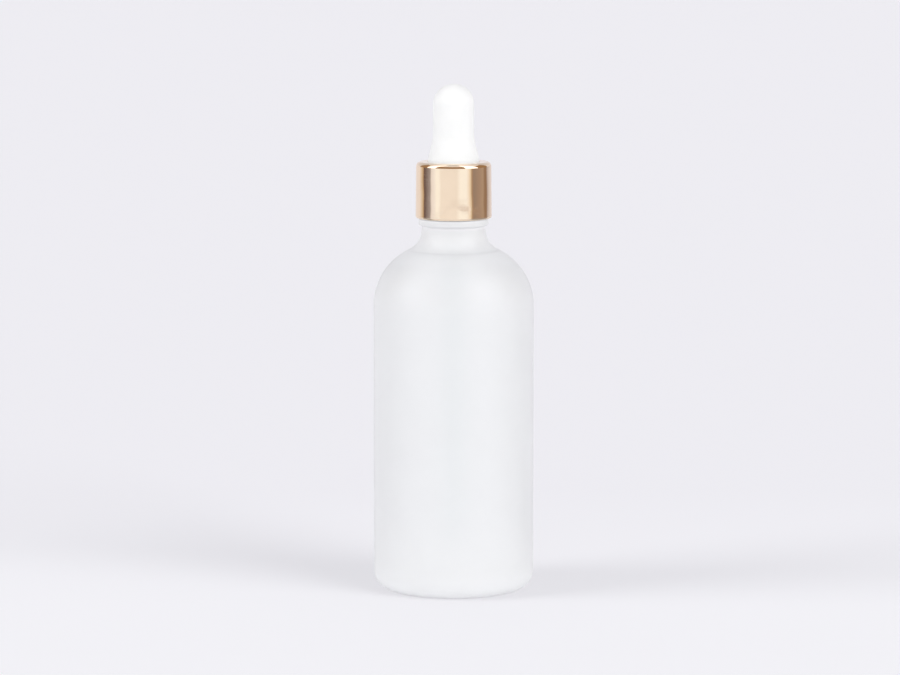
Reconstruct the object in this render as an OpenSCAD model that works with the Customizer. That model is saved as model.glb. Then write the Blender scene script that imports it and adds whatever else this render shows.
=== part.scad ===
// Dropper bottle: a frosted glass bottle closed by a screw-on rubber teat with a glass pipette.
// Millimetres, +Z up. The origin is the centre of the ring that the bottle stands on.

/* [Bottle body] */
// Outside diameter of the body
body_d = 44.6; // [42:0.1:48]
// Height from the resting ring to the lip
bottle_h = 115; // [108:0.5:125]
// Glass thickness of the body and the shoulder
wall = 2; // [1.5:0.1:2.5]
// Radius of the rounded heel
heel_r = 4.95; // [3.5:0.05:6]
// Outside radius of the round shoulder
shoulder_r = 17.2; // [16:0.1:19]
// Rise of the hollow under the base
push_up = 1.6; // [0.8:0.1:2]
// Glass thickness at the middle of the base
base_t = 2.8; // [2:0.1:4]

/* [Bottle neck] */
// Outside diameter of the plain neck under the bead
neck_d = 17.7; // [17:0.1:18.4]
// Height from the shoulder to the underside of the bead
neck_h = 5.6; // [5.2:0.1:7]
// Radius of the hollow between the neck and the shoulder
neck_fillet = 6.5; // [3:0.5:6.5]
// Diameter of the bead under the collar
bead_d = 19.5; // [18.8:0.1:20]
// Height of the bead
bead_h = 1.9; // [1.7:0.1:2.4]
// Height from the top of the bead to the lip
finish_h = 11.1; // [10.8:0.1:12]
// Diameter of the glass between the thread ridges
core_d = 15.6; // [15.2:0.1:15.8]
// Diameter of the neck's bore
bore_d = 11; // [9.5:0.1:11.6]

/* [Thread] */
// Rise in one full turn, right-handed
pitch = 3; // [2.8:0.1:3.2]
// Turns of the ridge, on the neck and in the cap alike
turns = 1.5; // [1:0.25:1.5]
// Diameter over the ridge on the neck
thread_d = 17.7; // [17.4:0.1:17.8]
// Facets in one turn of a ridge
thread_facets = 36; // [24:4:48]

/* [Collar] */
// Diameter of the metal shell at its lower edge
shell_d = 21.2; // [20.8:0.1:23]
// How much smaller the diameter is at the top
shell_draft = 0.3; // [0:0.1:0.5]
// Height of the metal shell
shell_h = 15.65; // [15.3:0.05:15.8]
// Thickness of the metal
shell_t = 0.4; // [0.3:0.05:0.5]
// Radius of the rounded upper edge
shell_edge_r = 1.3; // [0.7:0.1:1.4]
// Thickness of the plastic cap's top
web_t = 1.65; // [1.5:0.05:1.8]
// Inside diameter of the plastic cap
cap_bore_d = 18; // [17.9:0.1:18.3]

/* [Teat] */
// Outside diameter of the teat
teat_d = 11.35; // [10.5:0.05:12]
// Height of the teat above the collar
teat_h = 21.55; // [19:0.05:26]
// Rubber thickness
teat_wall = 1.2; // [0.9:0.1:1.4]
// Diameter of the teat's root in the collar's hole
root_d = 14.2; // [13.4:0.1:14.6]
// Slope of the flared root, in degrees from upright
flare_angle = 14; // [10:1:20]
// Diameter of the flange under the cap's top
flange_d = 17.2; // [16.4:0.1:17.6]
// How far each side can be pressed in
squeeze = 2.2; // [1:0.1:2.2]

/* [Pipette] */
// Outside diameter of the glass tube
tube_d = 7; // [6:0.1:7.4]
// Inside diameter of the glass tube
tube_bore_d = 5; // [4:0.1:5.2]
// Height of the tip above the surface that the bottle stands on
tip_z = 10.5; // [9.5:0.5:40]
// Length of the drawn-down tip
tip_l = 13; // [8:0.5:20]
// Diameter of the hole in the tip
tip_bore_d = 1.2; // [0.8:0.1:1.8]

/* [Washer] */
// Thickness of the sealing washer on the lip
washer_t = 1; // [0.8:0.1:1.2]
// Outside diameter of the washer, which passes inside the cap's ridge
washer_d = 15.4; // [13:0.1:15.6]

/* [Hidden] */
$fn = 96;
arc_steps = 6;                      // straight pieces in a small rounding
long_arc_steps = 14;                // straight pieces in a large round
play = 0.05;                        // gap between faces that turn or slide on each other
sunk = 0.3;                         // how deep a thread ridge is rooted in its wall

body_r = body_d / 2;
inner_r = body_r - wall;
neck_r = neck_d / 2;
bead_r = bead_d / 2;
core_r = core_d / 2;
bore_r = bore_d / 2;
foot_w = 1.5;                       // width of the flat resting ring
foot_out_r = body_r - heel_r;
foot_in_r = foot_out_r - foot_w;
floor_z = push_up + base_t;         // inside of the base at its middle
floor_edge_z = 3.2;                 // inside of the base next to its heel
inner_heel_r = 4;
bead_top_z = bottle_h - finish_h;
bead_z = bead_top_z - bead_h;
bead_round = 0.8;                   // radius of the bead's lower edge
bead_top_round = 0.3;
lip_round = 0.7;
mouth_round = 0.5;
bore_fillet = 5;
shoulder_x = body_r - shoulder_r;   // centre of the shoulder's arc
shoulder_z = bead_z - neck_h - sqrt(pow(shoulder_r, 2) - pow(neck_r - shoulder_x, 2));
neck_fillet_c = beside_shoulder(neck_r + neck_fillet, shoulder_r + neck_fillet);
bore_fillet_c = beside_shoulder(bore_r + bore_fillet, shoulder_r - wall + bore_fillet);
neck_fillet_a = angle_from_shoulder(neck_fillet_c);
bore_fillet_a = angle_from_shoulder(bore_fillet_c);

thread_r = thread_d / 2;
ridge_z = bead_top_z + 3.7;         // middle of the neck's ridge where it starts
ridge_w = [1.75, 0.75];             // neck ridge's width at its root and at its crest
cap_ridge_w = [1.45, 0.75];         // cap ridge's width at its root and at its crest
cap_ridge_r = core_r + 0.25;        // crest of the cap's ridge
cap_ridge_drop = 1.42;              // how far the cap's ridge runs below the neck's
fade_turns = 0.12;                  // a ridge sinks into its wall over this much of a turn

washer_z = bottle_h;
flange_z = washer_z + washer_t;     // underside of the teat's flange
flange_t = 1.65;
web_z = flange_z + flange_t + play; // underside of the cap's top
web_top_z = web_z + web_t;
shell_top_z = web_top_z + shell_t;
shell_z = shell_top_z - shell_h;
shell_r = shell_d / 2;
shell_top_r = shell_r - shell_draft / 2;
hem_r = 0.5;                        // radius of the shell's turned-in lower edge
hem_w = 0.85;                       // how far the lower edge turns in
cap_z = shell_z + shell_t;          // lower edge of the plastic cap, on the hem
cap_bore_r = cap_bore_d / 2;
cap_chamfer = 0.5;

teat_r = teat_d / 2;
cavity_r = teat_r - teat_wall;
root_r = root_d / 2;
hole_r = root_r + 2 * play;
root_arc = 1.5;
flare_arc = 6.5;
teat_top_z = shell_top_z + teat_h;
dome_z = teat_top_z - teat_r;       // centre of the half ball that closes the teat
straight_h = 8.65;                  // height of the straight side, between the flare and the dome
flare_top_z = dome_z - straight_h;
press_room = 0.45;                  // left free between the pressed sides at full squeeze, each
window_w = 2 * sqrt(pow(cavity_r, 2) - pow(squeeze + press_room, 2));  // pressed part of the side
window_h = 13;
window_round = 3.2;
window_z = dome_z - 5.4;
window_gap = 0.15;

tube_r = tube_d / 2;
tube_bore_r = tube_bore_d / 2;
tip_r = 1.35;
tip_bore_r = tip_bore_d / 2;
grip_top_z = flange_z + 2.9;        // the teat grips the tube up to here
head_r = tube_r + 0.8;              // the flared head that stops the tube pulling out
head_h = 1.6;

// Points on a round of radius r about c, from angle a0 to angle a1.
function arc(c, r, a0, a1, steps = arc_steps) =
    [for (i = [0:steps]) let (a = a0 + (a1 - a0) * i / steps) c + r * [cos(a), sin(a)]];

// The point at radius x, above the shoulder, that is d away from the centre of the shoulder's arc.
function beside_shoulder(x, d) = [x, shoulder_z + sqrt(pow(d, 2) - pow(x - shoulder_x, 2))];

function angle_from_shoulder(p) = atan2(p[1] - shoulder_z, p[0] - shoulder_x);

// The same outline drawn the other way, so that an inner wall can follow an outer one.
function backwards(points) = [for (i = [len(points) - 1:-1:0]) points[i]];

// The arc from the axis to radius r that rises by h at the axis.
function crown(r, z, h) =
    let (big_r = (r * r + h * h) / (2 * h))
    arc([0, z + h - big_r], big_r, 90, 90 - asin(r / big_r));

// A trapezoid ridge that climbs round the axis. Its ends sink back into the wall.
module ridge(wall_r, crest_r, widths, z0) {
    steps = round(turns * thread_facets);
    fade = fade_turns * thread_facets;
    outward = crest_r > wall_r;
    points = [for (i = [0:steps])
        let (a = 360 * i / thread_facets,
            z = z0 + pitch * i / thread_facets,
            lift = min(1, i / fade, (steps - i) / fade),
            crest = wall_r + (crest_r - wall_r) * (0.1 + 0.9 * lift),
            rz = [[wall_r, -widths[0] / 2], [crest, -widths[1] / 2],
                [crest, widths[1] / 2], [wall_r, widths[0] / 2]])
        for (p = rz) [p[0] * cos(a), p[0] * sin(a), z + p[1]]];
    sides = [for (i = [0:steps - 1], k = [0:3])
        let (n = (k + 1) % 4) [4 * i + k, 4 * i + 4 + k, 4 * i + 4 + n, 4 * i + n]];
    ends = [[0, 1, 2, 3], [4 * steps + 3, 4 * steps + 2, 4 * steps + 1, 4 * steps]];
    faces = concat(sides, ends);
    polyhedron(points, outward ? [for (f = faces) backwards(f)] : faces, convexity = 6);
}

module bottle() {
    outside = concat(
        crown(foot_in_r, 0, push_up),
        arc([foot_out_r, heel_r], heel_r, -90, 0),
        arc([shoulder_x, shoulder_z], shoulder_r, 0, neck_fillet_a, long_arc_steps),
        arc(neck_fillet_c, neck_fillet, 180 + neck_fillet_a, 180, long_arc_steps),
        [[neck_r, bead_z]],
        arc([bead_r - bead_round, bead_z + bead_round], bead_round, -90, 0),
        arc([bead_r - bead_top_round, bead_top_z - bead_top_round], bead_top_round, 0, 90),
        [[core_r, bead_top_z]],
        arc([core_r - lip_round, bottle_h - lip_round], lip_round, 0, 90));
    inside = concat(
        crown(inner_r - inner_heel_r, floor_edge_z, floor_z - floor_edge_z),
        arc([inner_r - inner_heel_r, floor_edge_z + inner_heel_r], inner_heel_r, -90, 0),
        arc([shoulder_x, shoulder_z], shoulder_r - wall, 0, bore_fillet_a, long_arc_steps),
        arc(bore_fillet_c, bore_fillet, 180 + bore_fillet_a, 180),
        arc([bore_r + mouth_round, bottle_h - mouth_round], mouth_round, 180, 90));
    color([0.86, 0.89, 0.87, 0.6]) {
        rotate_extrude() polygon(concat(outside, backwards(inside)));
        ridge(core_r - sunk, thread_r, ridge_w, ridge_z);
    }
}

module washer() {
    color([0.95, 0.95, 0.93])
    translate([0, 0, washer_z])
    difference() {
        cylinder(h = washer_t, r = washer_d / 2);
        translate([0, 0, -1]) cylinder(h = washer_t + 2, r = tube_r + 2 * play);
    }
}

module pipette() {
    outside = concat(
        [[tip_bore_r, tip_z], [tip_r - 0.3, tip_z], [tip_r, tip_z + 0.4]],
        [[tip_r + 0.25, tip_z + 2], [tube_r - 0.25, tip_z + tip_l - 2]],
        [[tube_r, tip_z + tip_l], [tube_r, grip_top_z + play]],
        arc([head_r - 0.5, grip_top_z + 0.5 + play], 0.5, -90, 0),
        arc([head_r - 0.5, grip_top_z + head_h - 0.5], 0.5, 0, 90));
    inside = [[tip_bore_r, tip_z + 2], [tube_bore_r, tip_z + tip_l + 1.5],
        [tube_bore_r, grip_top_z], [tube_bore_r + 0.5, grip_top_z + head_h]];
    color([0.85, 0.92, 0.93, 0.4])
    rotate_extrude() polygon(concat(outside, backwards(inside)));
}

// The whole rubber teat in one piece, before its pressed sides are told apart.
module teat_form() {
    dome_c = [0, dome_z];
    flare_c = [teat_r + flare_arc, flare_top_z];
    flare_end = flare_c + flare_arc * [-cos(flare_angle), -sin(flare_angle)];
    root_c_x = root_r - root_arc;
    cone_r = root_c_x + root_arc * cos(flare_angle);
    root_top_z = flare_end[1] - (cone_r - flare_end[0]) / tan(flare_angle);
    root_c = [root_c_x, root_top_z - root_arc * sin(flare_angle)];
    outside = concat(
        [[flange_d / 2, flange_z], [flange_d / 2, flange_z + flange_t], [root_r, flange_z + flange_t]],
        arc(root_c, root_arc, 0, flare_angle),
        arc(flare_c, flare_arc, 180 + flare_angle, 180),
        arc(dome_c, teat_r, 0, 90, long_arc_steps));
    inside = concat(
        [[tube_r, flange_z], [tube_r, grip_top_z], [cavity_r, grip_top_z]],
        arc(dome_c, cavity_r, 0, 90, long_arc_steps));
    rotate_extrude() polygon(concat(outside, backwards(inside)));
}

// A rounded bar through the front side of the teat, smaller all round by gap.
module window_bar(gap) {
    w = window_w - 2 * gap;
    h = window_h - 2 * gap;
    r = window_round - gap;
    translate([0, 0, window_z])
    rotate([90, 0, 0])
    linear_extrude(teat_d) {
        square([w, h - 2 * r], center = true);
        square([w - 2 * r, h], center = true);
        for (x = [-1, 1], z = [-1, 1]) translate([x * (w / 2 - r), z * (h / 2 - r)]) circle(r);
    }
}

module teat() {
    color([0.97, 0.97, 0.97])
    difference() {
        teat_form();
        window_bar(0);
        mirror([0, 1, 0]) window_bar(0);
    }
}

// The side that a finger presses in, by up to squeeze.
module teat_side() {
    color([0.93, 0.93, 0.94])
    intersection() {
        teat_form();
        window_bar(window_gap);
    }
}

module teat_front_wall() {
    teat_side();
}

module teat_back_wall() {
    mirror([0, 1, 0]) teat_side();
}

// Outer radius of the plastic cap and inner radius of the shell, at height z.
function fit_r(z) = shell_r - shell_t - shell_draft / 2 * (z - shell_z) / shell_h;

module screw_cap() {
    edge_r = shell_edge_r - shell_t;
    edge_z = web_top_z - edge_r;
    color([0.93, 0.93, 0.91]) {
        rotate_extrude() polygon(concat(
            [[cap_bore_r + cap_chamfer, cap_z], [fit_r(cap_z), cap_z]],
            arc([fit_r(edge_z) - edge_r, edge_z], edge_r, 0, 90),
            [[hole_r, web_top_z], [hole_r, web_z], [cap_bore_r, web_z]],
            [[cap_bore_r, cap_z + cap_chamfer]]));
        ridge(cap_bore_r + sunk, cap_ridge_r, cap_ridge_w, ridge_z - cap_ridge_drop);
    }
}

module collar_shell() {
    edge_r = shell_edge_r - shell_t;
    edge_z = web_top_z - edge_r;
    color([0.86, 0.74, 0.62])
    rotate_extrude() polygon(concat(
        [[shell_r - hem_w, shell_z]],
        arc([shell_r - hem_r, shell_z + hem_r], hem_r, -90, 0),
        arc([shell_top_r - shell_edge_r, shell_top_z - shell_edge_r], shell_edge_r, 0, 90),
        [[hole_r, shell_top_z], [hole_r, web_top_z]],
        arc([fit_r(edge_z) - edge_r, edge_z], edge_r, 90, 0),
        [[fit_r(cap_z), cap_z], [shell_r - hem_w, cap_z]]));
}

bottle();
washer();
pipette();
teat();
teat_front_wall();
teat_back_wall();
screw_cap();
collar_shell();
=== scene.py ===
"""A frosted dropper bottle: glass bottle, metal-covered screw collar, rubber teat and glass pipette."""

import math

import bmesh
import bpy
import numpy as np
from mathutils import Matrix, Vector


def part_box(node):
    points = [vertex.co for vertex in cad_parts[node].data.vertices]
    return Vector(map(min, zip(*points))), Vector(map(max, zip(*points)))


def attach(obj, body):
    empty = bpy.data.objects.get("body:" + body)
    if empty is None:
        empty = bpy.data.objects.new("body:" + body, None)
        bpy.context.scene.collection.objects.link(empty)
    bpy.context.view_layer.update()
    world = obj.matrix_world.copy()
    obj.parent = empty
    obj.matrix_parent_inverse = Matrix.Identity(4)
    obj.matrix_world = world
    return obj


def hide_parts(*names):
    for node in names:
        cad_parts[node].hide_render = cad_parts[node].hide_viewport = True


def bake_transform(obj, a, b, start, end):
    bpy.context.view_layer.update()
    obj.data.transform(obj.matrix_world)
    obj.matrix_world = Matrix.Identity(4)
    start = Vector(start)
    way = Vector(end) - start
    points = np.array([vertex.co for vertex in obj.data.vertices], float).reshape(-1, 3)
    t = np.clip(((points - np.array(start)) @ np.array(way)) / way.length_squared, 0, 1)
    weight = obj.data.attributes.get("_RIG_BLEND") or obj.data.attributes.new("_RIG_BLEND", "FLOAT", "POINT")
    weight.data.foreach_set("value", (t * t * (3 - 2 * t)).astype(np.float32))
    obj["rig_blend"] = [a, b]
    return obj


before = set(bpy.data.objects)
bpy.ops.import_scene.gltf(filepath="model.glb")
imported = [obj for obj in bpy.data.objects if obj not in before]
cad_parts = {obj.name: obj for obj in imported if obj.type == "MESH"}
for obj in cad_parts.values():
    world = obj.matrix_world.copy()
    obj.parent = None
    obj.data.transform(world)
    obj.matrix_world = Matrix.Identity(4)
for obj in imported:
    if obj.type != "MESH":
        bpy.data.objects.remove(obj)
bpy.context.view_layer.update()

MM = 0.001  # outlines are written in millimetres, and every mesh is in metres


# ---------------------------------------------------------------- sizes, in millimetres


def box_mm(node):
    """A node's lowest and highest corners at rest, in millimetres."""
    return [[value / MM for value in corner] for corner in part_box(node)]


BOTTLE_HIGH = box_mm("bottle")[1]
SHELL_LOW, SHELL_HIGH = box_mm("collar_shell")
CAP_LOW, CAP_HIGH = box_mm("screw_cap")
TEAT_LOW, TEAT_HIGH = box_mm("teat")
PIPETTE_LOW, PIPETTE_HIGH = box_mm("pipette")
WASHER_LOW, WASHER_HIGH = box_mm("washer")

BODY_R = BOTTLE_HIGH[0]
LIP_Z = BOTTLE_HIGH[2]
WALL = 2.0
HEEL_R = 4.95
FOOT_W = 1.5
PUSH_UP = 1.6
FLOOR_Z = 4.4
FLOOR_EDGE_Z = 3.2
INNER_HEEL_R = 4.0
SHOULDER_R = 17.2
SHOULDER_X = BODY_R - SHOULDER_R
NECK_R = 8.85
NECK_H = 5.6
NECK_FILLET = 6.5
BEAD_R = 9.75
BEAD_H = 1.9
BEAD_ROUND = 0.6
BEAD_TOP_ROUND = 0.3
BEAD_CREASE_R = 0.5
BEAD_SLOPE = (-0.15, 0.25)  # where the bead's sloped underside starts and ends, up from BEAD_Z
FINISH_H = 11.1
CORE_R = 7.8
BORE_R = 5.5
BORE_FILLET = 5.0
LIP_ROUND = 0.7
MOUTH_ROUND = 0.5
BEAD_TOP_Z = LIP_Z - FINISH_H
BEAD_Z = BEAD_TOP_Z - BEAD_H
NECK_TOP_Z = BEAD_Z - 0.6
SHOULDER_Z = BEAD_Z - NECK_H - math.sqrt(SHOULDER_R**2 - (NECK_R - SHOULDER_X) ** 2)

PITCH = 3.0
TURNS = 1.5
THREAD_R = 8.85
RIDGE_Z = BEAD_TOP_Z + 3.7
RIDGE_HALF = (0.76, 0.38)  # half widths at the root and at the crest
CAP_RIDGE_R = CORE_R + 0.25
CAP_RIDGE_DROP = 1.42
CAP_RIDGE_HALF = (0.62, 0.38)
FADE_TURNS = 0.12

SHELL_R = SHELL_HIGH[0]
SHELL_DRAFT = 0.15
SHELL_T = 0.4
SHELL_EDGE_R = 1.3
CAP_EDGE_R = SHELL_EDGE_R - SHELL_T
HEM_R = 0.5
HEM_W = 0.85
CAP_BORE_R = 9.0
WEB_T = 1.65
WEB_Z = CAP_HIGH[2] - WEB_T

TEAT_R = 5.675
TEAT_WALL = 1.2
ROOT_R = 7.1
ROOT_ARC = 1.5
HOLE_R = ROOT_R + 0.1
FLANGE_R = TEAT_HIGH[0]
FLANGE_Z = TEAT_LOW[2]
FLANGE_T = 1.65
FLARE_ARC = 6.5
FLARE_ANGLE = 14.0
STRAIGHT_H = 8.65
DOME_Z = TEAT_HIGH[2] - TEAT_R
FLARE_TOP_Z = DOME_Z - STRAIGHT_H

TUBE_R = 3.5
TUBE_BORE_R = 2.5
TIP_L = 13.0
TIP_R = 1.35
TIP_BORE_R = 0.6
GRIP_TOP_Z = FLANGE_Z + 2.9
HEAD_R = PIPETTE_HIGH[0]
HEAD_H = 1.6


# ---------------------------------------------------------------- outlines


def arc(centre, radius, start, end, steps=12):
    """Points (r, z) on a round about centre, from one angle to another in degrees."""
    angles = [math.radians(start + (end - start) * i / steps) for i in range(steps + 1)]
    return [(centre[0] + radius * math.cos(a), centre[1] + radius * math.sin(a)) for a in angles]


def rounded(corners, steps=5):
    """An open line of corners (r, z, radius), with each corner rounded by its radius."""
    points = [corners[0][:2]]
    for before, corner, after in zip(corners, corners[1:], corners[2:]):
        here, radius = Vector(corner[:2]), corner[2]
        if radius <= 0:
            points.append(tuple(here))
            continue
        towards = (Vector(before[:2]) - here).normalized()
        away = (Vector(after[:2]) - here).normalized()
        half = towards.angle(away) / 2
        centre = here + (towards + away).normalized() * (radius / math.sin(half))
        first = here + towards * (radius / math.tan(half)) - centre
        last = here + away * (radius / math.tan(half)) - centre
        turn = first.angle(last)
        for i in range(steps + 1):
            share = i / steps
            weights = (math.sin((1 - share) * turn), math.sin(share * turn))
            points.append(tuple(centre + (first * weights[0] + last * weights[1]) / math.sin(turn)))
    return points + [corners[-1][:2]]


def crown(radius, z, rise, steps=16):
    """The shallow dome from the axis out to radius, which is rise higher at the axis."""
    big = (radius * radius + rise * rise) / (2 * rise)
    return arc((0, z + rise - big), big, 90, 90 - math.degrees(math.asin(radius / big)), steps)


def beside_shoulder(r, distance):
    """The point at radius r above the shoulder, this far from the centre of its arc."""
    return (r, SHOULDER_Z + math.sqrt(distance**2 - (r - SHOULDER_X) ** 2))


def angle_from_shoulder(point):
    return math.degrees(math.atan2(point[1] - SHOULDER_Z, point[0] - SHOULDER_X))


def spaced(low, high, step):
    """Heights from low to high, close together enough for a thread to be raised on them."""
    count = math.ceil((high - low) / step)
    return [low + (high - low) * i / count for i in range(1, count)]


def held(outline, reach=0.12, long=1.2):
    """Adds a ring just inside each end of a long straight, so that smooth shading keeps it straight."""
    points = [outline[0]]
    for start, end in zip(outline, outline[1:]):
        length = math.dist(start, end)
        if length > long:
            for share in (reach / length, 1 - reach / length):
                points.append(tuple(a + (b - a) * share for a, b in zip(start, end)))
        points.append(end)
    return points


def smooth(t):
    t = np.clip(t, 0, 1)
    return t * t * (3 - 2 * t)


# ---------------------------------------------------------------- meshes


def make_object(name, verts, faces):
    mesh = bpy.data.meshes.new(name)
    mesh.from_pydata([tuple(v) for v in np.asarray(verts) * MM], [], faces)
    sides = bmesh.new()
    sides.from_mesh(mesh)
    bmesh.ops.recalc_face_normals(sides, faces=sides.faces)
    sides.to_mesh(mesh)
    sides.free()
    mesh.shade_smooth()
    piece = bpy.data.objects.new(name, mesh)
    bpy.context.scene.collection.objects.link(piece)
    return piece


def revolve(name, outline, sides=128, closed=False, start=0.0, sweep=360.0, change=None):
    """Turns an outline of (r, z) round the axis. Points on the axis become poles.

    closed joins the last point to the first. A sweep under 360 degrees gets flat end faces.
    change(r, angle, z) may move each ring's points in or out, and gives the new radii.
    """
    outline = held(outline)
    whole = sweep >= 360
    columns = sides if whole else sides + 1
    angles = np.radians(start + sweep * np.arange(columns) / sides)
    verts, rings = [], []
    for r, z in outline:
        if r < 1e-6:
            rings.append([len(verts)] * columns)
            verts.append((0.0, 0.0, z))
            continue
        radii = np.full(columns, r) if change is None else change(r, angles, z)
        rings.append(list(range(len(verts), len(verts) + columns)))
        verts += [(q * math.cos(a), q * math.sin(a), z) for q, a in zip(radii, angles)]
    pairs = list(zip(rings, rings[1:])) + ([(rings[-1], rings[0])] if closed else [])
    faces = []
    for lower, upper in pairs:
        for i in range(sides):
            k = (i + 1) % columns
            corners = [lower[i], lower[k], upper[k], upper[i]]
            corners = [v for j, v in enumerate(corners) if v != corners[j - 1]]
            if len(corners) > 2:
                faces.append(corners)
    if not whole:
        faces.append([ring[0] for ring in rings])
        faces.append([ring[-1] for ring in reversed(rings)])
    return make_object(name, verts, faces)


def thread_height(angle, z, half, z0):
    """How far up its flank, from 0 to 1, a point at this angle and height is on a thread ridge."""
    height = np.zeros_like(angle)
    for lap in range(math.ceil(TURNS)):
        turn = angle / (2 * math.pi) % 1.0 + lap
        away = np.abs(z - (z0 + PITCH * turn))
        flank = smooth((half[0] - away) / (half[0] - half[1]))
        fade = smooth(np.minimum(turn, TURNS - turn) / FADE_TURNS)
        height = np.maximum(height, flank * fade)
    return height


def bottle_outlines():
    neck_c = beside_shoulder(NECK_R + NECK_FILLET, SHOULDER_R + NECK_FILLET)
    bore_c = beside_shoulder(BORE_R + BORE_FILLET, SHOULDER_R - WALL + BORE_FILLET)
    neck_a, bore_a = angle_from_shoulder(neck_c), angle_from_shoulder(bore_c)
    foot_r = BODY_R - HEEL_R
    outside = (
        crown(foot_r - FOOT_W, 0, PUSH_UP)
        + arc((foot_r, HEEL_R), HEEL_R, -90, 0, 16)
        + arc((SHOULDER_X, SHOULDER_Z), SHOULDER_R, 0, neck_a, 40)
        + arc(neck_c, NECK_FILLET, 180 + neck_a, 180, 12)
        + rounded([(NECK_R, NECK_TOP_Z, 0),
                   (NECK_R, BEAD_Z + BEAD_SLOPE[0], BEAD_CREASE_R),
                   (BEAD_R, BEAD_Z + BEAD_SLOPE[1], BEAD_ROUND),
                   (BEAD_R, BEAD_TOP_Z, BEAD_TOP_ROUND),
                   (CORE_R, BEAD_TOP_Z, 0.3),
                   (CORE_R, BEAD_TOP_Z + 1, 0)], 8)
        + [(CORE_R, z) for z in spaced(BEAD_TOP_Z + 1, LIP_Z - LIP_ROUND, 0.12)]
        + arc((CORE_R - LIP_ROUND, LIP_Z - LIP_ROUND), LIP_ROUND, 0, 90, 8)
    )
    inside = (
        crown(BODY_R - WALL - INNER_HEEL_R, FLOOR_EDGE_Z, FLOOR_Z - FLOOR_EDGE_Z)
        + arc((BODY_R - WALL - INNER_HEEL_R, FLOOR_EDGE_Z + INNER_HEEL_R), INNER_HEEL_R, -90, 0, 12)
        + arc((SHOULDER_X, SHOULDER_Z), SHOULDER_R - WALL, 0, bore_a, 32)
        + arc(bore_c, BORE_FILLET, 180 + bore_a, 180, 12)
        + arc((BORE_R + MOUTH_ROUND, LIP_Z - MOUTH_ROUND), MOUTH_ROUND, 180, 90, 8)
    )
    return outside, inside


def make_bottle():
    outside, inside = bottle_outlines()

    def raise_thread(r, angle, z):
        if abs(r - CORE_R) > 1e-6 or z < BEAD_TOP_Z + 0.5:
            return np.full_like(angle, r)
        return r + (THREAD_R - CORE_R) * thread_height(angle, z, RIDGE_HALF, RIDGE_Z)

    sides = 192
    piece = revolve("frosted_bottle", outside + inside[::-1], sides=sides, change=raise_thread)
    mesh = piece.data
    mesh.materials.append(frosted_glass())
    mesh.materials.append(smooth_glass_inside())
    first_inner_vertex = 1 + sides * (len(held(outside)) - 1)
    for polygon in mesh.polygons:
        if min(polygon.vertices) >= first_inner_vertex:
            polygon.material_index = 1
    return piece


# ---------------------------------------------------------------- materials

# The bottle's heights, in millimetres, at which its frosted glass changes.
HEEL_TOP_Z = 0.07 * LIP_Z
BODY_LOW_Z = 0.15 * LIP_Z
BODY_MIDDLE_Z = 0.2 * LIP_Z
BODY_HIGH_Z = 0.7 * LIP_Z
SHOULDER_TOP_Z = BEAD_Z - 11
CREASE_Z = BEAD_Z - 7
NECK_MIDDLE_Z = BEAD_Z - 2

# The frosted glass's whites by height. The heel's white is painted light against the contact shade at the
# floor, and the shoulder's grey is painted shade on its upper face.
HEEL_PAINTED_LIGHT = (0.96, 0.975, 0.965)
LOW_WHITE = (0.91, 0.925, 0.915)
BODY_WHITE = (0.90, 0.915, 0.91)
SHOULDER_PAINTED_SHADE = (0.85, 0.865, 0.86)
NECK_WHITE = (0.80, 0.81, 0.80)
BEAD_WHITE = (0.81, 0.82, 0.81)

DENT_SHIFT = 2.8  # how far down the collar's faint dents are moved, in millimetres


def new_material(name):
    material = bpy.data.materials.new(name)
    material.use_nodes = True
    nodes = material.node_tree.nodes
    return material, nodes, material.node_tree.links, nodes["Principled BSDF"]


def position(nodes, links, scale=(1, 1, 1), shift=(0, 0, 0)):
    """Object coordinates in metres, so that grain has a real size."""
    coords = nodes.new("ShaderNodeTexCoord")
    mapping = nodes.new("ShaderNodeMapping")
    mapping.inputs["Scale"].default_value = scale
    mapping.inputs["Location"].default_value = shift
    links.new(coords.outputs["Object"], mapping.inputs["Vector"])
    return mapping.outputs["Vector"]


def noise(nodes, links, vector, size_mm, detail=3.0):
    """Noise whose features are about size_mm across."""
    node = nodes.new("ShaderNodeTexNoise")
    node.inputs["Scale"].default_value = 1 / (size_mm * MM)
    node.inputs["Detail"].default_value = detail
    links.new(vector, node.inputs["Vector"])
    return node.outputs["Fac"]


def ramp(nodes, links, value, low, high, start=0.3, end=0.7):
    """Maps value from start..end to low..high."""
    node = nodes.new("ShaderNodeMapRange")
    node.inputs["From Min"].default_value = start
    node.inputs["From Max"].default_value = end
    node.inputs["To Min"].default_value = low
    node.inputs["To Max"].default_value = high
    links.new(value, node.inputs["Value"])
    return node.outputs["Result"]


def blended(nodes, links, value, stops):
    """A colour that goes from stop to stop as value grows. stops are places and colours."""
    node = nodes.new("ShaderNodeValToRGB")
    elements = node.color_ramp.elements
    while len(elements) < len(stops):
        elements.new(0.5)
    for element, (place, colour) in zip(elements, stops):
        element.position = place
        element.color = (*colour, 1)
    links.new(value, node.inputs["Fac"])
    return node.outputs["Color"]


def tint(nodes, links, value, first, second, start=0.3, end=0.7):
    return blended(nodes, links, value, [(start, first), (end, second)])


def bump(nodes, links, height, depth_mm, into):
    """Raises a surface by height. into is the shader, or a finer bump that lies on this one."""
    node = nodes.new("ShaderNodeBump")
    node.inputs["Strength"].default_value = 1
    node.inputs["Distance"].default_value = depth_mm * MM
    links.new(height, node.inputs["Height"])
    links.new(node.outputs["Normal"], into.inputs["Normal"])
    return node


def grey(share):
    return (share, share, share)


def at_heights(stops):
    """Stops for the bottle's whole height, from stops whose places are in millimetres."""
    return [(z / LIP_Z, colour) for z, colour in stops]


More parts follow.
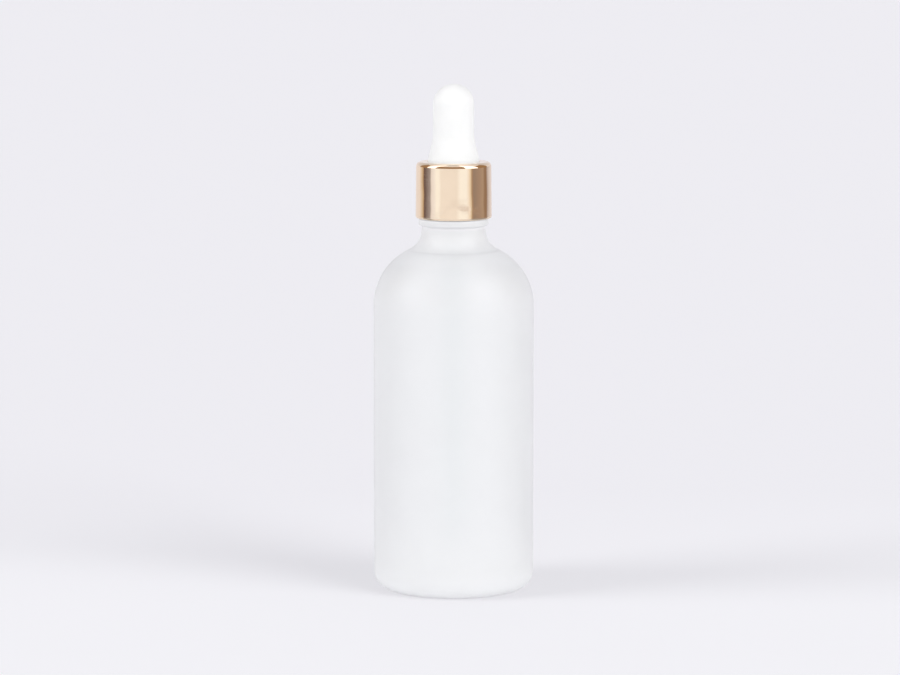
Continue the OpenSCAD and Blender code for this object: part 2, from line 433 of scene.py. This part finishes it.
def frosted_glass():
    """Acid-frosted glass. Less passes through it where it is thick, at the neck and at the heel.

    Its colour holds painted light and shade by height. Painted light whitens the heel against the contact shade
    at the floor.
    It also whitens the crease under the neck and the bead's lower and upper edge, which would look like dark
    lines of shade otherwise.
    Painted shade greys the top of the shoulder. It is greyer at the neck.
    """
    material, nodes, links, shader = new_material("frosted_glass")
    where = position(nodes, links)
    axes = nodes.new("ShaderNodeSeparateXYZ")
    links.new(where, axes.inputs["Vector"])
    height = ramp(nodes, links, axes.outputs["Z"], 0, 1, 0, LIP_Z * MM)
    seen_through = at_heights([
        (0, grey(0.15)), (FLOOR_Z, grey(0.35)), (BODY_LOW_Z, grey(0.4)),
        (SHOULDER_TOP_Z, grey(0.4)), (NECK_MIDDLE_Z, grey(0.15)),
    ])
    links.new(blended(nodes, links, height, seen_through), shader.inputs["Transmission Weight"])
    # Painted light whitens the heel, the crease and the bead's edges, and painted shade greys the shoulder,
    # over the glass's own white.
    whiteness_and_painted_light = at_heights([
        (0, HEEL_PAINTED_LIGHT), (HEEL_TOP_Z, LOW_WHITE), (BODY_MIDDLE_Z, BODY_WHITE), (BODY_HIGH_Z, BODY_WHITE),
        (SHOULDER_TOP_Z, SHOULDER_PAINTED_SHADE), (CREASE_Z, BODY_WHITE), (NECK_MIDDLE_Z, NECK_WHITE),
        (BEAD_Z - 0.9, BEAD_WHITE), (BEAD_Z - 0.1, grey(0.94)), (BEAD_Z + 0.6, BEAD_WHITE),
        (BEAD_TOP_Z - 0.6, BEAD_WHITE), (BEAD_TOP_Z - 0.1, grey(0.92)),
    ])
    mottle = noise(nodes, links, where, 9.0)
    mix = nodes.new("ShaderNodeMix")
    mix.data_type = "RGBA"
    mix.blend_type = "MULTIPLY"
    mix.inputs["Factor"].default_value = 1.0
    links.new(blended(nodes, links, height, whiteness_and_painted_light), mix.inputs["A"])
    links.new(tint(nodes, links, mottle, grey(0.985), grey(1)), mix.inputs["B"])
    links.new(mix.outputs["Result"], shader.inputs["Base Color"])
    shader.inputs["Coat Weight"].default_value = 0.35
    shader.inputs["Coat Roughness"].default_value = 0.3
    shader.inputs["IOR"].default_value = 1.5
    links.new(ramp(nodes, links, mottle, 0.50, 0.58), shader.inputs["Roughness"])
    bump(nodes, links, noise(nodes, links, where, 0.12, 2.0), 0.004, shader)
    return material


def smooth_glass_inside():
    material, nodes, links, shader = new_material("smooth_glass_inside")
    where = position(nodes, links)
    shader.inputs["Transmission Weight"].default_value = 1.0
    shader.inputs["IOR"].default_value = 1.5
    shader.inputs["Base Color"].default_value = (0.99, 0.995, 0.985, 1)
    waves = noise(nodes, links, where, 14.0, 1.0)
    links.new(ramp(nodes, links, waves, 0.10, 0.16), shader.inputs["Roughness"])
    bump(nodes, links, waves, 0.08, shader)
    return material


def clear_glass():
    material, nodes, links, shader = new_material("clear_glass")
    where = position(nodes, links)
    shader.inputs["Transmission Weight"].default_value = 1.0
    shader.inputs["IOR"].default_value = 1.47
    shader.inputs["Base Color"].default_value = (0.90, 0.94, 0.935, 1)
    waves = noise(nodes, links, where, 6.0, 1.0)
    links.new(ramp(nodes, links, waves, 0.01, 0.04), shader.inputs["Roughness"])
    bump(nodes, links, waves, 0.004, shader)
    return material


def white_rubber():
    material, nodes, links, shader = new_material("white_rubber")
    where = position(nodes, links)
    cloud = noise(nodes, links, where, 4.0)
    colour = tint(nodes, links, cloud, (0.84, 0.85, 0.825), (0.86, 0.87, 0.845))
    links.new(colour, shader.inputs["Base Color"])
    links.new(ramp(nodes, links, cloud, 0.55, 0.65), shader.inputs["Roughness"])
    shader.inputs["Subsurface Weight"].default_value = 0.15
    shader.inputs["Subsurface Radius"].default_value = (1, 1, 0.9)
    shader.inputs["Subsurface Scale"].default_value = 0.5 * MM
    shader.inputs["Sheen Weight"].default_value = 0.15
    shader.inputs["Sheen Roughness"].default_value = 0.5
    bump(nodes, links, noise(nodes, links, where, 0.25, 4.0), 0.01, shader)
    return material


def gold_aluminium():
    material, nodes, links, shader = new_material("gold_aluminium")
    rings = noise(nodes, links, position(nodes, links, (0.02, 0.02, 1)), 0.5, 4.0)
    where = position(nodes, links)
    cloud = noise(nodes, links, where, 5.0)
    shader.inputs["Metallic"].default_value = 1.0
    colour = tint(nodes, links, cloud, (0.94, 0.77, 0.58), (0.96, 0.79, 0.60))
    links.new(colour, shader.inputs["Base Color"])
    links.new(ramp(nodes, links, rings, 0.045, 0.075), shader.inputs["Roughness"])
    dents = noise(nodes, links, position(nodes, links, shift=(0, 0, DENT_SHIFT * MM)), 8.0, 1.0)
    brushed = bump(nodes, links, rings, 0.002, shader)
    bump(nodes, links, dents, 0.18, brushed)
    return material


def cap_plastic():
    material, nodes, links, shader = new_material("cap_plastic")
    where = position(nodes, links)
    cloud = noise(nodes, links, where, 3.0)
    colour = tint(nodes, links, cloud, (0.84, 0.84, 0.82), (0.88, 0.88, 0.865))
    links.new(colour, shader.inputs["Base Color"])
    links.new(ramp(nodes, links, cloud, 0.34, 0.44), shader.inputs["Roughness"])
    bump(nodes, links, noise(nodes, links, where, 0.2, 3.0), 0.008, shader)
    return material


def seal_plastic():
    material, nodes, links, shader = new_material("seal_plastic")
    where = position(nodes, links)
    cells = noise(nodes, links, where, 0.5, 4.0)
    colour = tint(nodes, links, cells, (0.85, 0.85, 0.83), (0.90, 0.90, 0.88))
    links.new(colour, shader.inputs["Base Color"])
    links.new(ramp(nodes, links, cells, 0.6, 0.75), shader.inputs["Roughness"])
    bump(nodes, links, cells, 0.02, shader)
    return material


# ---------------------------------------------------------------- collar, cap, washer and pipette


def fit_r(z):
    """The plastic cap's outer radius, which is the shell's inner radius, at height z."""
    return SHELL_R - SHELL_T - SHELL_DRAFT * (z - SHELL_LOW[2]) / (SHELL_HIGH[2] - SHELL_LOW[2])


def make_collar_shell():
    top_r = SHELL_R - SHELL_DRAFT
    outline = rounded([
        (HOLE_R, SHELL_HIGH[2] - SHELL_T / 2, 0),
        (HOLE_R, SHELL_HIGH[2], 0.12),
        (top_r, SHELL_HIGH[2], SHELL_EDGE_R),
        (SHELL_R, SHELL_LOW[2], HEM_R),
        (SHELL_R - HEM_W, SHELL_LOW[2], 0.15),
        (SHELL_R - HEM_W, CAP_LOW[2], 0.1),
        (fit_r(CAP_LOW[2]), CAP_LOW[2], 0.1),
        (fit_r(CAP_HIGH[2]), CAP_HIGH[2], CAP_EDGE_R),
        (HOLE_R, CAP_HIGH[2], 0.05),
        (HOLE_R, SHELL_HIGH[2] - SHELL_T / 2, 0),
    ], 10)
    piece = revolve("gold_collar_shell", outline[:-1][::-1], sides=192, closed=True)
    piece.data.materials.append(gold_aluminium())
    return piece


def make_screw_cap():
    bore_low, bore_high = CAP_LOW[2] + 0.7, WEB_Z - 0.5
    outline = (
        rounded([(CAP_BORE_R + 0.3, CAP_LOW[2] + 0.2, 0),
                 (CAP_BORE_R + 0.5, CAP_LOW[2], 0.1),
                 (fit_r(CAP_LOW[2]), CAP_LOW[2], 0.15),
                 (fit_r(CAP_HIGH[2]), CAP_HIGH[2], CAP_EDGE_R),
                 (HOLE_R, CAP_HIGH[2], 0.1),
                 (HOLE_R, WEB_Z, 0.1),
                 (CAP_BORE_R, WEB_Z, 0.3),
                 (CAP_BORE_R, bore_high, 0)])
        + [(CAP_BORE_R, z) for z in spaced(bore_low, bore_high, 0.12)[::-1]]
        + [(CAP_BORE_R, bore_low)]
    )

    def raise_thread(r, angle, z):
        if abs(r - CAP_BORE_R) > 1e-6 or z > WEB_Z - 0.4:
            return np.full_like(angle, r)
        ridge = thread_height(angle, z, CAP_RIDGE_HALF, RIDGE_Z - CAP_RIDGE_DROP)
        return r - (CAP_BORE_R - CAP_RIDGE_R) * ridge

    piece = revolve("threaded_screw_cap", outline, sides=160, closed=True, change=raise_thread)
    piece.data.materials.append(cap_plastic())
    return piece


def make_washer():
    inner, outer = TUBE_R + 0.1, WASHER_HIGH[0]
    low, high = WASHER_LOW[2], WASHER_HIGH[2]
    outline = rounded([(inner, (low + high) / 2, 0), (inner, low, 0.12), (outer, low, 0.12),
                       (outer, high, 0.12), (inner, high, 0.12), (inner, (low + high) / 2, 0)])
    piece = revolve("sealing_washer", outline[:-1], sides=128, closed=True)
    piece.data.materials.append(seal_plastic())
    return piece


def make_pipette():
    tip_z = PIPETTE_LOW[2]
    head_z = GRIP_TOP_Z + HEAD_H
    outside = rounded([
        (TIP_BORE_R, tip_z + 0.5, 0),
        (TIP_BORE_R, tip_z, 0.3),
        (TIP_R, tip_z, 0.35),
        (TIP_R + 0.25, tip_z + 2.5, 8),
        (TUBE_R, tip_z + TIP_L - 1.5, 10),
        (TUBE_R, GRIP_TOP_Z + 0.1, 0.12),
        (HEAD_R, GRIP_TOP_Z + 0.1, 0.5),
        (HEAD_R, head_z, 0.5),
        (TUBE_BORE_R + 0.5, head_z, 0.4),
        (TUBE_BORE_R, GRIP_TOP_Z, 1.0),
        (TUBE_BORE_R, tip_z + TIP_L, 10),
        (TIP_BORE_R, tip_z + 3, 6),
        (TIP_BORE_R, tip_z + 0.5, 0),
    ], 10)
    piece = revolve("glass_pipette", outside[:-1], sides=96, closed=True)
    piece.data.materials.append(clear_glass())
    return piece


# ---------------------------------------------------------------- teat


def teat_outline():
    dome_c = (0, DOME_Z)
    slope = math.radians(FLARE_ANGLE)
    flare_c = (TEAT_R + FLARE_ARC, FLARE_TOP_Z)
    flare_end = (flare_c[0] - FLARE_ARC * math.cos(slope), flare_c[1] - FLARE_ARC * math.sin(slope))
    cone_r = ROOT_R - ROOT_ARC + ROOT_ARC * math.cos(slope)
    cone_z = flare_end[1] - (cone_r - flare_end[0]) / math.tan(slope)
    root_c = (ROOT_R - ROOT_ARC, cone_z - ROOT_ARC * math.sin(slope))
    cavity_r = TEAT_R - TEAT_WALL
    outside = (
        rounded([(TUBE_R, FLANGE_Z + 0.5, 0), (TUBE_R, FLANGE_Z, 0.2), (FLANGE_R, FLANGE_Z, 0.3),
                 (FLANGE_R, FLANGE_Z + FLANGE_T, 0.3), (ROOT_R, FLANGE_Z + FLANGE_T, 0.1),
                 (ROOT_R, root_c[1] - 0.5, 0)])
        + arc(root_c, ROOT_ARC, 0, FLARE_ANGLE, 6)
        + arc(flare_c, FLARE_ARC, 180 + FLARE_ANGLE, 180, 10)
        + [(TEAT_R, z) for z in spaced(FLARE_TOP_Z, DOME_Z, 0.5)]
        + arc(dome_c, TEAT_R, 0, 90, 30)
    )
    inside = (
        [(TUBE_R, GRIP_TOP_Z), (cavity_r, GRIP_TOP_Z + 0.4)]
        + [(cavity_r, z) for z in spaced(GRIP_TOP_Z + 0.4, DOME_Z, 0.5)]
        + arc(dome_c, cavity_r, 0, 90, 24)
    )
    return outside + inside[::-1]


PRESS_Z = DOME_Z - 5.4       # middle of the squeezed part of the teat
PRESS_HALF_W = 4.4           # the squeeze has died away this far to the sides,
PRESS_HALF_H = 8.6           # and this far up and down


def make_teat_half(name, start, wall_body, material):
    """Half of the teat, which stays on the dropper but is drawn in where a finger presses."""
    piece = revolve(name, teat_outline(), sides=96, start=start, sweep=180, closed=True)
    mesh = piece.data
    for polygon in mesh.polygons:
        if len(polygon.vertices) > 4:
            polygon.use_smooth = False
    for edge in mesh.edges:
        edge.use_edge_sharp = all(abs(mesh.vertices[v].co.y) < 1e-7 for v in edge.vertices)
    mesh.materials.append(material)
    co = np.array([v.co for v in mesh.vertices]) / MM
    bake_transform(piece, "dropper", wall_body, start=(0, 0, 0), end=(0, math.sin(math.radians(start + 90)), 0))
    reach = (co[:, 0] / PRESS_HALF_W) ** 2 + ((co[:, 2] - PRESS_Z) / PRESS_HALF_H) ** 2
    weights = smooth(1 - reach)
    mesh.attributes["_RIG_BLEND"].data.foreach_set("value", weights.astype(np.float32))
    return piece


# ---------------------------------------------------------------- stage, lights and camera


STUDIO_TONE = (0.871, 0.855, 0.905)
OVERHEAD_SHARE = 0.5
# The floor's colour in front of the bottle and far behind it. The lighter colour in front is painted light.
FLOOR_NEAR_PAINTED_LIGHT = (0.970, 0.975, 0.983)
FLOOR_FAR = (0.928, 0.929, 0.943)

# What the metal mirrors, as stops of degrees round from the front and a share of the studio's tone.
# A white sweep goes all the way round, with a dark flag in it to the left and one to the right. At its
# foot are the table's edge and the right flag's low part, and grey shades lie on the table. Above the
# sweep are a dark room with two tall softboxes in front of it, and a pale ceiling.
SWEEP_STOPS = [
    (-180, (0.99, 0.97, 0.95)), (-125, (0.99, 0.97, 0.95)), (-112, (0.80, 0.68, 0.52)),
    (-104, (0.56, 0.41, 0.25)), (-101, (0.17, 0.12, 0.11)), (-94, (0.22, 0.17, 0.16)),
    (-76, (0.44, 0.42, 0.43)), (-71, (0.98, 0.99, 1.01)), (-62, (1.05, 1.09, 1.12)),
    (-53, (1.18, 1.26, 1.24)), (-46, (1.18, 1.26, 1.24)), (-38, (1.07, 1.08, 1.05)),
    (8, (1.07, 1.08, 1.05)), (20, (1.19, 1.27, 1.27)), (38, (1.19, 1.27, 1.27)),
    (46, (1.10, 1.08, 1.00)), (52, (0.95, 0.85, 0.66)), (57, (0.50, 0.36, 0.24)),
    (63, (0.37, 0.30, 0.25)), (82, (0.44, 0.34, 0.27)), (100, (0.50, 0.39, 0.29)),
    (108, (0.36, 0.25, 0.17)), (118, (0.34, 0.24, 0.16)), (123, (0.55, 0.50, 0.50)),
    (135, (0.78, 0.76, 0.77)), (150, (0.88, 0.87, 0.88)), (180, (0.99, 0.97, 0.95)),
]
EDGE_STOPS = [(-30, (0.98, 0.97, 0.96)), (-5, (0.88, 0.85, 0.82)), (45, (0.86, 0.81, 0.76))]
FLAG_STOPS = [(52, (0.85, 0.78, 0.62)), (58, (0.46, 0.34, 0.24)), (82, (0.44, 0.34, 0.27)),
              (100, (0.50, 0.39, 0.29)), (123, (0.50, 0.42, 0.40))]
SHADE_STOPS = [(-180, grey(1)), (-115, grey(0.9)), (-104, grey(0.35)), (-76, grey(0.4)),
               (-68, grey(1)), (48, grey(1)), (58, grey(0.45)), (118, grey(0.4)),
               (126, grey(0.8)), (180, grey(1))]
ROOM_TONE = (0.40, 0.25, 0.13)
CEILING_TONE = (0.95, 0.95, 0.95)
SOFTBOX_TONE = (2.05, 2.05, 1.97)

# How far from the bottle's axis the cards stand, and how high their edges are, in millimetres.
SHADES_START = 90
EDGE_DISTANCE = 845
SWEEP_DISTANCE = 850
ROOM_DISTANCE = 900
SHADES_Z = 1
EDGE_Z = (15.5, 24.5)
SWEEP_Z = (22, 190)
SOFTBOX_Z = (210, 4000)
ROOM_TOP = 1080
CEILING_TOP = 6000

# Each card's stops, and its first and last edge as in make_card().
CARDS = {
    "white_sweep": (SWEEP_STOPS, (SWEEP_DISTANCE, SWEEP_Z[0]), (SWEEP_DISTANCE, SWEEP_Z[1])),
    "table_edge": (EDGE_STOPS, (EDGE_DISTANCE, EDGE_Z[0]), (EDGE_DISTANCE, EDGE_Z[1])),
    "low_flag": (FLAG_STOPS, (SWEEP_DISTANCE, SHADES_Z), (SWEEP_DISTANCE, SWEEP_Z[0])),
    "table_shades": (SHADE_STOPS, (SHADES_START, SHADES_Z), (SWEEP_DISTANCE, SHADES_Z)),
    "dark_room": ([(-125, ROOM_TONE), (125, ROOM_TONE)],
                  (ROOM_DISTANCE, SWEEP_Z[1]), (ROOM_DISTANCE, ROOM_TOP)),
    "ceiling": ([(-180, CEILING_TONE), (180, CEILING_TONE)],
                (ROOM_DISTANCE, ROOM_TOP), (ROOM_DISTANCE, CEILING_TOP)),
    "softbox_left": ([(-89, SOFTBOX_TONE), (-56, SOFTBOX_TONE)],
                     (SWEEP_DISTANCE, SOFTBOX_Z[0]), (SWEEP_DISTANCE, SOFTBOX_Z[1])),
    "softbox_right": ([(36, SOFTBOX_TONE), (80, SOFTBOX_TONE)],
                      (SWEEP_DISTANCE, SOFTBOX_Z[0]), (SWEEP_DISTANCE, SOFTBOX_Z[1])),
}

# Each lamp's azimuth, elevation and spread in degrees, and the tone that it adds to a white floor.
SUNS = {
    "key_right": (50, 27, 40, 0.15),
    "key_left": (-74, 27, 34, 0.112),
    "front_fill": (-10, 25, 90, 0.073),
}

# The camera's place in metres, its pitch in degrees down, and its lens in millimetres.
CAMERA_DISTANCE = 1.1
CAMERA_HEIGHT = 0.213
CAMERA_SIDE = -0.00102
CAMERA_PITCH = 7.38
CAMERA_LENS = 159.1


def make_camera():
    data = bpy.data.cameras.new("camera")
    data.lens = CAMERA_LENS
    data.sensor_width = 36
    data.clip_end = 100
    camera = bpy.data.objects.new("camera", data)
    camera.location = (CAMERA_SIDE, -CAMERA_DISTANCE, CAMERA_HEIGHT)
    camera.rotation_euler = (math.radians(90 - CAMERA_PITCH), 0, 0)
    bpy.context.scene.collection.objects.link(camera)
    bpy.context.scene.camera = camera


def towards(azimuth, elevation, distance):
    """A point seen from the object. Azimuth 0 is the front, and it grows to the right."""
    a, e = math.radians(azimuth), math.radians(elevation)
    return Vector((math.sin(a) * math.cos(e), -math.cos(a) * math.cos(e), math.sin(e))) * distance


def make_sun(name, azimuth, elevation, spread, share):
    """A far, soft light. share is the floor tone that it adds to a white floor."""
    data = bpy.data.lights.new(name, "SUN")
    data.angle = math.radians(spread)
    data.energy = share * math.pi / math.sin(math.radians(elevation))
    light = bpy.data.objects.new(name, data)
    light.rotation_euler = towards(azimuth, elevation, 1).to_track_quat("Z", "Y").to_euler()
    light.visible_glossy = False
    bpy.context.scene.collection.objects.link(light)


def make_floor():
    """One wide pale floor, with painted light that makes it a little lighter from behind the bottle to the
    front.
    """
    floor = revolve("floor", [(0, 0), (100, 0), (300, 0), (12000, 0)], sides=64)
    material, nodes, links, shader = new_material("floor_paper")
    axes = nodes.new("ShaderNodeSeparateXYZ")
    links.new(position(nodes, links), axes.inputs["Vector"])
    depth = ramp(nodes, links, axes.outputs["Y"], 0, 1, -0.03, 0.16)
    links.new(tint(nodes, links, depth, FLOOR_NEAR_PAINTED_LIGHT, FLOOR_FAR, 0, 1), shader.inputs["Base Color"])
    shader.inputs["Roughness"].default_value = 1.0
    shader.inputs["Specular IOR Level"].default_value = 0.0
    floor.data.materials.append(material)


def make_world():
    """Soft light from all round, which is brightest at the horizon."""
    world = bpy.data.worlds.new("studio")
    world.use_nodes = True
    nodes, links = world.node_tree.nodes, world.node_tree.links
    axes = nodes.new("ShaderNodeSeparateXYZ")
    links.new(nodes.new("ShaderNodeTexCoord").outputs["Generated"], axes.inputs["Vector"])
    overhead = [tone * OVERHEAD_SHARE for tone in STUDIO_TONE]
    tone = tint(nodes, links, axes.outputs["Z"], STUDIO_TONE, overhead, 0, 1)
    links.new(tone, nodes["Background"].inputs["Color"])
    bpy.context.scene.world = world


def make_card(name, stops, first_edge, last_edge):
    """A glowing card round part of the bottle that only shows in reflections.

    stops are angles as in towards(), each with its tone, which is blended from stop to stop.
    An edge is its distance from the bottle's axis and its height.
    """
    verts, faces, tones = [], [], []
    for (start, first), (end, last) in zip(stops, stops[1:]):
        steps = max(1, math.ceil((end - start) / 6))
        for i in range(steps + 1):
            share = i / steps
            way = towards(start + (end - start) * share, 0, 1)
            verts += [(way.x * distance, way.y * distance, z) for distance, z in (first_edge, last_edge)]
            tones += [[(a + (b - a) * share) * c for a, b, c in zip(first, last, STUDIO_TONE)] + [1]] * 2
            if i:
                k = len(verts) - 4
                faces.append((k, k + 2, k + 3, k + 1))
    card = make_object(name, verts, faces)
    colours = card.data.color_attributes.new("tone", "FLOAT_COLOR", "POINT")
    colours.data.foreach_set("color", np.ravel(tones))
    material, nodes, links, shader = new_material(name)
    shader.inputs["Base Color"].default_value = (0, 0, 0, 1)
    shader.inputs["Specular IOR Level"].default_value = 0
    tone = nodes.new("ShaderNodeVertexColor")
    tone.layer_name = "tone"
    links.new(tone.outputs["Color"], shader.inputs["Emission Color"])
    shader.inputs["Emission Strength"].default_value = 1
    card.data.materials.append(material)
    card.visible_camera = False
    card.visible_diffuse = False
    card.visible_transmission = False
    card.visible_shadow = False


# ---------------------------------------------------------------- put together


make_camera()
make_floor()
make_world()
for name, sun in SUNS.items():
    make_sun(name, *sun)
for name, card in CARDS.items():
    make_card(name, *card)
bpy.context.scene.view_settings.view_transform = "Standard"

bottle = make_bottle()
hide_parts("bottle")
bottle.visible_diffuse = False  # frosted glass passes light on, so it darkens nothing near it
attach(bottle, "bottle")

shell = make_collar_shell()
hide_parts("collar_shell")
shell.visible_diffuse = False  # polished metal sends on the light that it takes from the glass below it
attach(shell, "cap")

cap = make_screw_cap()
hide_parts("screw_cap")
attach(cap, "cap")

washer = make_washer()
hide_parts("washer")
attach(washer, "washer")

pipette = make_pipette()
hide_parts("pipette")
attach(pipette, "dropper")

rubber = white_rubber()
front = make_teat_half("teat_front_half", 180, "front_wall", rubber)
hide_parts("teat", "teat_front_wall")
back = make_teat_half("teat_back_half", 0, "back_wall", rubber)
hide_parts("teat", "teat_back_wall")
